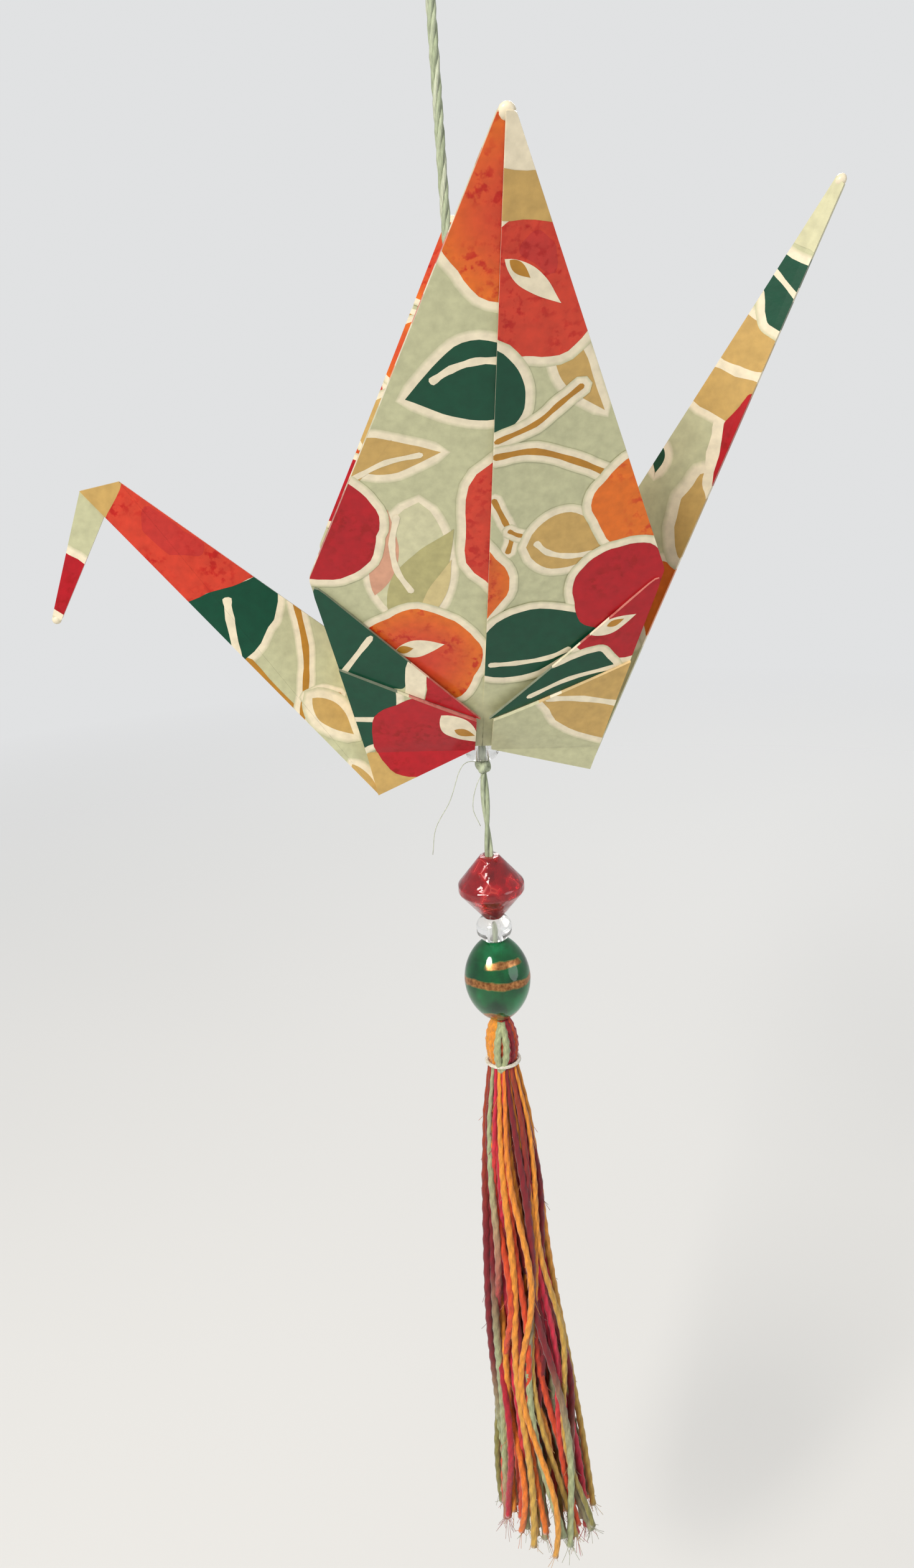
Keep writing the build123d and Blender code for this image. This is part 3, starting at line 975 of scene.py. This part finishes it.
def tie_material():
    look = new_look("tie_thread", Sheen_Weight=0.3)
    fibre = look.noise(5200, 4)
    look.set(Base_Color=look.ramp(fibre, (0.3, "bdb7a4"), (0.7, "efebdd")),
             Roughness=look.spread(fibre, 0.55, 0.8))
    look.bump(fibre, 0.5, 0.0002)
    return look.owner


def clear_glass():
    look = new_look("clear_glass", Transmission_Weight=0.92, IOR=1.5)
    haze = look.noise(420)
    look.set(Base_Color=look.ramp(haze, (0.3, "f4f4f1"), (0.7, "ffffff")),
             Roughness=look.spread(haze, 0.02, 0.07))
    look.bump(look.noise(260), 0.12, 0.0004)
    return look.owner


def red_plastic():
    """Translucent red with a crackle of small bright flaws inside."""
    look = new_look("red_plastic", Transmission_Weight=0.55, IOR=1.5, Coat_Weight=0.6, Coat_Roughness=0.05)
    crack = look.node("TexVoronoi", feature="DISTANCE_TO_EDGE", Scale=620, Vector=look.at)
    gone = look.spread(look.noise(520, 2), 0.0, 0.4, 0.44, 0.60)
    edge = look.math("ADD", crack.outputs["Distance"], gone)
    reds = (0.0, "f4473d"), (0.05, "cf1420"), (0.30, "a50714"), (0.7, "8a0410")
    look.set(Base_Color=look.ramp(edge, *reds), Roughness=look.spread(edge, 0.30, 0.06, 0.0, 0.12))
    look.bump(edge, 0.35, 0.0004)
    return look.owner


def swirl(look, axes, height, tilt, turns, phase, width, short):
    """One metallic band round the bead: 1 on the band and 0 off it. A short one stays on one side."""
    x, y, z = axes
    angle = look.math("ARCTAN2", y, x)
    wave = look.math("SINE", look.math("ADD", look.math("MULTIPLY", angle, turns), phase))
    middle = look.math("ADD", look.math("MULTIPLY", wave, tilt), height)
    off = look.math("ABSOLUTE", look.math("SUBTRACT", z, middle))
    band = look.spread(off, 1.0, 0.0, 0.6 * width, width)
    if short:
        facing = look.math("COSINE", look.math("ADD", angle, 1.25))
        band = look.math("MULTIPLY", band, look.spread(facing, 0.0, 1.0, 0.66, 0.78))
    return band


def green_glass(low, high):
    """Deep green glass with copper swirls near its surface."""
    look = new_look("green_glass", IOR=1.5, Coat_Weight=0.25, Coat_Roughness=0.04)
    speck = look.node("TexNoise", Scale=420, Vector=look.at).outputs["Color"]
    uneven = (0.0009, 0.0009, 0.0009)
    warp = look.node("VectorMath", speck, uneven, look.at, operation="MULTIPLY_ADD")
    axes = list(look.node("SeparateXYZ", warp.outputs[0]).outputs)
    size = high - low
    bands = [(0.58, 0.035, 1, -2.6, 0.00056, False), (0.82, 0.02, 1, 2.4, 0.00046, True),
             (0.14, 0.05, 3, 1.0, 0.0006, False)]
    band = None
    for share, tilt, *rest in bands:
        made = swirl(look, axes, low + share * size, tilt * size, *rest)
        band = made if band is None else look.math("MAXIMUM", band, made)
    depth = look.ramp(look.noise(330, 2), (0.35, "014a28"), (0.55, "00733a"), (0.7, "12985a"))
    copper = look.ramp(look.noise(2600), (0.3, "7d4a22"), (0.7, "c98d55"))
    mix = look.node("Mix", data_type="RGBA", Factor=band, A=depth, B=copper)
    look.set(Base_Color=mix.outputs["Result"], Metallic=look.math("MULTIPLY", band, 0.85),
             Transmission_Weight=look.spread(band, 0.5, 0.0, 0.0, 0.3),
             Roughness=look.spread(band, 0.06, 0.32, 0.0, 1.0))
    return look.owner


# Threads: tubes along a line, collected like the paper, with shared points for smooth shading.
PLY_RELIEF, PLY_GROOVE_PAINTED_SHADE = 0.13, 0.15       # how far a yarn's two plies stand out, and how much painted shade darkens the grooves between them and lightens their crowns


def tube(store, path, radius, colour, sides, twist=0):
    """A tube along a line. With a twist, it is two plies that turn about each other so many times."""
    rings = []
    last = len(path) - 1
    for k, point in enumerate(path):
        ahead = (path[min(k + 1, last)] - path[max(k - 1, 0)]).normalized()
        across = ahead.cross(Vector((0, 1, 0))) if abs(ahead.y) < 0.9 else ahead.cross(Vector((1, 0, 0)))
        across.normalize()
        other = ahead.cross(across)
        ring = []
        for s in range(sides):
            turn = 2 * math.pi * s / sides
            ply = math.cos(2 * turn - 4 * math.pi * twist * k / last) if twist else 0
            reach = value_at(radius, k / last) * (1 + PLY_RELIEF * ply)
            ring.append(len(store.points))
            store.points.append(point + (across * math.cos(turn) + other * math.sin(turn)) * reach)
            # Painted shade: darker in the grooves between the plies, lighter on their crowns.
            store.colours.append([c * (1 + PLY_GROOVE_PAINTED_SHADE * ply) for c in value_at(colour, k / last)])
        rings.append(ring)
    for a, b in zip(rings, rings[1:]):
        for s in range(sides):
            store.faces.append((a[s], a[(s + 1) % sides], b[(s + 1) % sides], b[s]))
    store.faces += [rings[0][::-1], rings[-1]]


def spline_points(route):
    """Points along the smooth line through a route, close together."""
    curve = bpy.data.curves.new("route", "CURVE")
    curve.dimensions = "3D"
    curve.resolution_u = 24
    spline = curve.splines.new("NURBS")
    spline.points.add(len(route) - 1)
    for point, place in zip(spline.points, route):
        point.co = (*place, 1)
    spline.order_u = 3
    spline.use_endpoint_u = True
    holder = bpy.data.objects.new("route", curve)
    mesh = bpy.data.meshes.new_from_object(holder)
    points = [v.co.copy() for v in mesh.vertices]
    for used, block in ((holder, bpy.data.objects), (curve, bpy.data.curves), (mesh, bpy.data.meshes)):
        block.remove(used)
    return points


def path_length(path):
    return sum((b - a).length for a, b in zip(path, path[1:]))


def plied(store, path, plies, lay, radius, pitch, codes):
    """Thin strands wound round a line: lay is how far they run from it."""
    along = 0.0
    places = [[] for _ in range(plies)]
    last = len(path) - 1
    for k, point in enumerate(path):
        along += (point - path[k - 1]).length if k else 0
        ahead = (path[min(k + 1, last)] - path[max(k - 1, 0)]).normalized()
        across = ahead.cross(Vector((0, 1, 0))).normalized()
        other = ahead.cross(across)
        for p in range(plies):
            turn = 2 * math.pi * (along / pitch + p / plies)
            places[p].append(point + (across * math.cos(turn) + other * math.sin(turn)) * lay)
    for p, strand in enumerate(places):
        tube(store, strand, radius, rgb(codes[p % len(codes)]), sides=7)


# Cords, in metres. Their routes are those of the part's source.
CORD = 0.001
FLOSS = ("b9c3a4", "a7b292", "c6cdb3", "afba9b")
LOOP = (0.009, 0.020)                        # width and height
STRAND, LAY = 0.25 * CORD, 0.26 * CORD       # a strand's radius, and how far it runs from the middle
PITCH, DROP_PITCH = 0.0085, 0.014            # length of one turn of the strands
STRAY_RADIUS = 0.00004
KNOT_STEPS = 72
# Two stray fibres at the drop's knot, in millimetres from its centre.
STRAYS = (((0, -0.5, 0.4), (-1.6, -1.0, 0.9), (-2.7, -1.2, 0.0), (-4.0, -1.2, -3.4), (-5.8, -1.3, -6.4),
           (-6.4, -1.2, -9.6)),
          ((0, -0.4, -0.5), (-1.0, -0.8, -2.2), (-1.5, -0.9, -4.6), (-0.8, -0.9, -6.8)))


def fitted(made, node):
    """A piece that rides on the object and stands for one of its solids."""
    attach(made, "root")
    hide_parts(node)
    return made


def straight_route(node):
    low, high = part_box(node)
    x, y = (low.x + high.x) / 2, (low.y + high.y) / 2
    return [(x, y, low.z + (high.z - low.z) * share) for share in (0, 0.3, 0.7, 1)]


def knot_piece(name, node, material, strays=()):
    """An overhand knot: a threefold tube that fills the solid it stands for, with stray fibres."""
    low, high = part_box(node)
    centre, size = (low + high) / 2, high - low
    strand = 0.21 * size.z
    path = []
    for k in range(KNOT_STEPS + 1):
        t = 2 * math.pi * k / KNOT_STEPS
        x, y = math.sin(t) + 2 * math.sin(2 * t), math.cos(t) - 2 * math.cos(2 * t)
        path.append(centre + Vector((x / 6 * (size.x - 2 * strand), y / 6 * (size.y - 2 * strand),
                                     -math.sin(3 * t) / 2 * (size.z - 2 * strand))))
    store = Paper()
    tube(store, path, strand, rgb(FLOSS[0]), sides=8)
    tube(store, [centre + Vector((0, 0, s * size.z / 2)) for s in (-1, -0.4, 0.4, 1)],
         strand * 1.3, rgb(FLOSS[1]), sides=8)
    for stray in strays:
        fibre = through([centre + Vector(p) / 1000 for p in stray])
        tube(store, fibre, STRAY_RADIUS, rgb(FLOSS[2]), sides=4)
    return fitted(store.mesh_object(name, "thread", material), node)


def floss_piece(name, node, material, path, plies, lay, pitch):
    store = Paper()
    plied(store, path, plies, lay, STRAND, pitch, FLOSS)
    return fitted(store.mesh_object(name, "thread", material), node)


def floss_cords():
    material = thread_material("floss")
    loop_knot = knot_piece("loop_overhand_knot", "loop_knot", material)
    drop_knot = knot_piece("drop_overhand_knot", "stopper_knot", material, STRAYS)

    upper = spline_points(straight_route("hanging_cord"))
    cord = floss_piece("hanging_floss", "hanging_cord", material, upper, 4, LAY, PITCH)
    tuple(upper[0])
    path_length(upper)

    width, height = LOOP
    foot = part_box("hanging_loop")[0].z
    step = CORD * 0.55
    half = [(-step, 0), (-step, 0.14 * height), (-width / 2, 0.45 * height), (-width / 2, height)]
    route = [(x, 0, foot + z) for x, z in half] + [(-x, 0, foot + z) for x, z in reversed(half)]
    ring = spline_points(route)
    loop = floss_piece("loop_floss", "hanging_loop", material, ring, 4, LAY, PITCH)
    tuple(ring[0])
    path_length(ring)

    drop = spline_points(straight_route("pendant_cord"))
    pendant = floss_piece("pendant_floss", "pendant_cord", material, drop, 2, STRAND, DROP_PITCH)
    tuple(drop[0])
    path_length(drop)


# Tassel, in metres.
THREADS = 74
FUZZ = 1100               # short loose fibres, half of them at the yarns' cut ends
DYES = ("b3162c", "cc2240", "d8481e", "e8761f", "ea9430", "c9a048", "8a8446", "6f6a33", "a03a1c", "7d1420",
        "a9b184")
STARTS = (0, 0, 0, 1, 1, 2, 3, 3, 3, 4, 5, 8, 8)     # dyes at the yarns' upper ends
SAGE_DYE, SAGE_YARN = 10, 67                         # one yarn at the front left starts pale green
# The skirt's width in millimetres, at shares of its length.
SPREAD = ((0, 3.2), (0.10, 5.6), (0.22, 7.0), (0.42, 8.3), (0.70, 10.4), (1.0, 13.8))
DRIFT = Vector((0.0020, -0.0004, 0))         # how far the skirt's end hangs from the middle
GOLDEN_TURN = 2.39996                        # turn from yarn to yarn that fills a disc evenly
YARN_POINTS, YARN_TWIST, HEAD_TWIST = 100, 15, 3
HAIR, HEAD_YARN, SAGE_THREAD = 0.00003, 0.00046, 0.00042     # radii
HEAD_YARNS, HEAD_STEPS, SAGE_STEPS = 15, 16, 12
AMBERS, REDS = ("e0922a", "ea9430"), ("b3162c", "8f1626", "cc4a20")


def skirt_radius(share):
    for (a, wide_a), (b, wide_b) in zip(SPREAD, SPREAD[1:]):
        if share <= b:
            return (wide_a + (wide_b - wide_a) * (share - a) / (b - a)) / 2000
    return SPREAD[-1][1] / 2000


def dyed(phase, pace):
    """Colour along a thread that was dyed in stretches."""
    def colour_at(t):
        place = (phase + pace * t) % len(DYES)
        here = int(place)
        share = min(1, max(0, (place - here) * 2.5 - 0.75))
        return blend(rgb(DYES[here]), rgb(DYES[(here + 1) % len(DYES)]), share)
    return colour_at


def tassel_skirt(material):
    """Two-ply yarns that spread downwards, with loose fibres."""
    chance = random.Random(7)
    low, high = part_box("tassel_skirt")
    length = high.z - low.z
    store = Paper()
    yarns = []
    for k in range(THREADS):
        out = math.sqrt((k + 0.5) / THREADS)
        turn = GOLDEN_TURN * k
        aim = Vector((math.cos(turn), math.sin(turn), 0))
        cross = Vector((-aim.y, aim.x, 0))
        end = chance.uniform(0.955, 1.0) + 0.010 * (aim.x - 1)
        phase, sway, beat = chance.uniform(0, 6.28), chance.uniform(0.0005, 0.0016), chance.uniform(6, 15)
        path = []
        for s in range(YARN_POINTS):
            share = end * s / (YARN_POINTS - 1)
            wave = sway * min(1, 2 * share) * math.sin(phase + beat * share)
            place = aim * (skirt_radius(share) * out + 0.4 * wave) + cross * wave + DRIFT * share ** 1.5
            path.append(place + Vector((0, 0, high.z - share * length)))
        thick = chance.uniform(0.00036, 0.00048)
        start = SAGE_DYE if k == SAGE_YARN else chance.choice(STARTS) + chance.uniform(0, 0.8)
        dye = dyed(start, chance.uniform(1, 2.4))
        tube(store, path, lambda t: thick * (0.5 + 0.5 * min(1, 4 * t)), dye, sides=8, twist=YARN_TWIST)
        yarns.append((path, dye))
    for _ in range(FUZZ):
        path, dye = chance.choice(yarns)
        k = chance.choice((chance.randrange(4, len(path) - 1), len(path) - 2))
        ahead = (path[k + 1] - path[k]).normalized()
        away = Vector((chance.gauss(0, 1), chance.gauss(0, 1), chance.gauss(0, 0.4))).normalized()
        reach = chance.uniform(0.0010, 0.0030)
        hair = [path[k] + (ahead * t + away * (0.3 * t + 0.25 * t * t)) * reach for t in (0, 0.35, 0.7, 1)]
        tube(store, hair, HAIR, dye(k / len(path)), sides=3)
    fitted(store.mesh_object("tassel_threads", "thread", material), "tassel_skirt")


def tassel_head(material):
    """Yarns gathered over the top, amber on one side and red on the other, with two pale ones in front."""
    low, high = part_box("tassel_head")
    length = high.z - low.z
    store = Paper()
    for k in range(HEAD_YARNS):
        turn = 2 * math.pi * k / HEAD_YARNS
        aim = Vector((math.cos(turn), math.sin(turn), 0))
        colour = rgb(AMBERS[k % 2] if aim.x < -0.2 else REDS[k % 3])
        path = []
        for s in range(HEAD_STEPS + 1):
            t = s / HEAD_STEPS
            radius = 0.00045 + 0.00108 * math.sin(math.pi * min(1, t * 0.78 + 0.02)) ** 0.7
            path.append(aim * radius + Vector((0, 0, high.z - 0.00035 - t * (length - 0.00035))))
        tube(store, path, HEAD_YARN, colour, sides=8, twist=HEAD_TWIST)
    for sway in (-1, 1):
        path = []
        for s in range(SAGE_STEPS + 1):
            t = s / SAGE_STEPS
            x = sway * 0.00055 * math.sin(math.pi * t) - 0.0004 * t
            y = -0.0006 - 0.0014 * math.sin(math.pi * min(1, t * 0.75 + 0.1))
            path.append(Vector((x, y, high.z - 0.0004 - t * (length + 0.0006))))
        tube(store, path, SAGE_THREAD, rgb(DYES[SAGE_DYE]), sides=8, twist=HEAD_TWIST)
    fitted(store.mesh_object("tassel_head_threads", "thread", material), "tassel_head")


def dress_nodes():
    """Better materials on the solids that stay in view."""
    low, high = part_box("green_oval_bead")
    clear = clear_glass()
    looks = {
        "stopper_bead": clear,
        "clear_spacer_bead": clear,
        "red_bicone_bead": red_plastic(),
        "green_oval_bead": green_glass(low.z, high.z),
        "tassel_tie": tie_material(),
    }
    for node, material in looks.items():
        mesh = frame["nodes"][node].data
        mesh.materials.clear()
        mesh.materials.append(material)


# Stage, light and camera.
FLOOR_RADIUS, FLOOR_BELOW, FLOOR_SIDES = 5.0, 0.045, 64
FLOOR_FADE = 0.22, 0.72                  # distances over which the floor fades into the backdrop
BACKDROP = "e6e7e8"
WORLD_LIGHT, BACKDROP_SEEN, BACKDROP_MIRRORED = 0.34, 0.95, 0.5
LAMPS = (                                # name, place, size, power and colour
    ("key", (-0.42, -0.50, 0.34), 0.34, 6.4, (1.0, 0.96, 0.90)),
    ("fill", (0.60, -0.38, -0.02), 0.50, 1.2, (0.95, 0.97, 1.0)),
    ("rim", (0.20, 0.62, 0.30), 0.40, 3.0, (1.0, 1.0, 1.0)),
)
LAMP_AIM = Vector((0, 0, CROTCH + 0.02))
LENS, SENSOR = 27.47, 36
CLIP = 0.004, 30
CAMERA_PLACE = (-0.00798, -0.12577, CROTCH + 0.03873)
CAMERA_AIM, CAMERA_UP = (0.0371, 0.9442, -0.3272), (0.0890, 0.3230, 0.9422)


def pale_floor():
    """A disc that fades into the backdrop."""
    turns = [2 * math.pi * k / FLOOR_SIDES for k in range(FLOOR_SIDES)]
    height = cad_box[0].z - FLOOR_BELOW
    ring = [(FLOOR_RADIUS * math.cos(turn), FLOOR_RADIUS * math.sin(turn), height) for turn in turns]
    mesh = bpy.data.meshes.new("floor")
    mesh.from_pydata(ring, [], [range(FLOOR_SIDES)])
    look = new_look("floor", Roughness=0.8)
    look.set(Base_Color=look.ramp(look.noise(2), (0.3, "dcdbd8"), (0.7, "e4e3e0")))
    reach = look.node("VectorMath", look.at, operation="LENGTH").outputs["Value"]
    clear = look.node("BsdfTransparent").outputs[0]
    share = look.spread(reach, 0.0, 1.0, *FLOOR_FADE)
    fade = look.node("MixShader", share, look.shader.outputs[0], clear)
    look.feed(look.tree.nodes["Material Output"].inputs["Surface"], fade.outputs[0])
    mesh.materials.append(look.owner)
    floor = add_object("floor", mesh)


def soft_light(name, place, size, power, colour):
    lamp = bpy.data.lights.new(name, "AREA")
    lamp.shape = "DISK"
    lamp.size = size
    lamp.energy = power
    lamp.color = colour
    holder = add_object(name, lamp)
    holder.location = place
    holder.rotation_mode = "QUATERNION"
    holder.rotation_quaternion = (LAMP_AIM - Vector(place)).to_track_quat("-Z", "Y")


def studio():
    """A dim world that looks pale to the eye, in gloss and through glass, and three soft lamps."""
    scene = bpy.context.scene
    scene.view_settings.view_transform = "Standard"
    scene.world = bpy.data.worlds.new("studio")
    look = Look(scene.world, "Background", Color=(*rgb(BACKDROP), 1))
    rays = look.node("LightPath").outputs
    mirrored = look.math("MULTIPLY", rays["Is Glossy Ray"], BACKDROP_MIRRORED)
    seen = look.math("MAXIMUM", rays["Is Camera Ray"], mirrored)
    seen = look.math("MAXIMUM", seen, rays["Is Transmission Ray"])
    look.set(Strength=look.spread(seen, WORLD_LIGHT, BACKDROP_SEEN, 0.0, 1.0))
    for lamp in LAMPS:
        soft_light(*lamp)


def photo_camera():
    data = bpy.data.cameras.new("camera")
    data.lens, data.sensor_width = LENS, SENSOR
    data.clip_start, data.clip_end = CLIP
    camera = add_object("camera", data)
    forward = Vector(CAMERA_AIM).normalized()
    right = forward.cross(Vector(CAMERA_UP)).normalized()
    turn = Matrix((right, right.cross(forward), -forward)).transposed()
    camera.matrix_world = Matrix.Translation(CAMERA_PLACE) @ turn.to_4x4()
    bpy.context.scene.camera = camera


paint_crane()
fitted(paper.mesh_object("crane_paper", "print", paper_material()), "paper_crane")
floss_cords()
yarn = thread_material("tassel_thread")
tassel_skirt(yarn)
tassel_head(yarn)
dress_nodes()
pale_floor()
studio()
photo_camera()

bpy.context.view_layer.update()
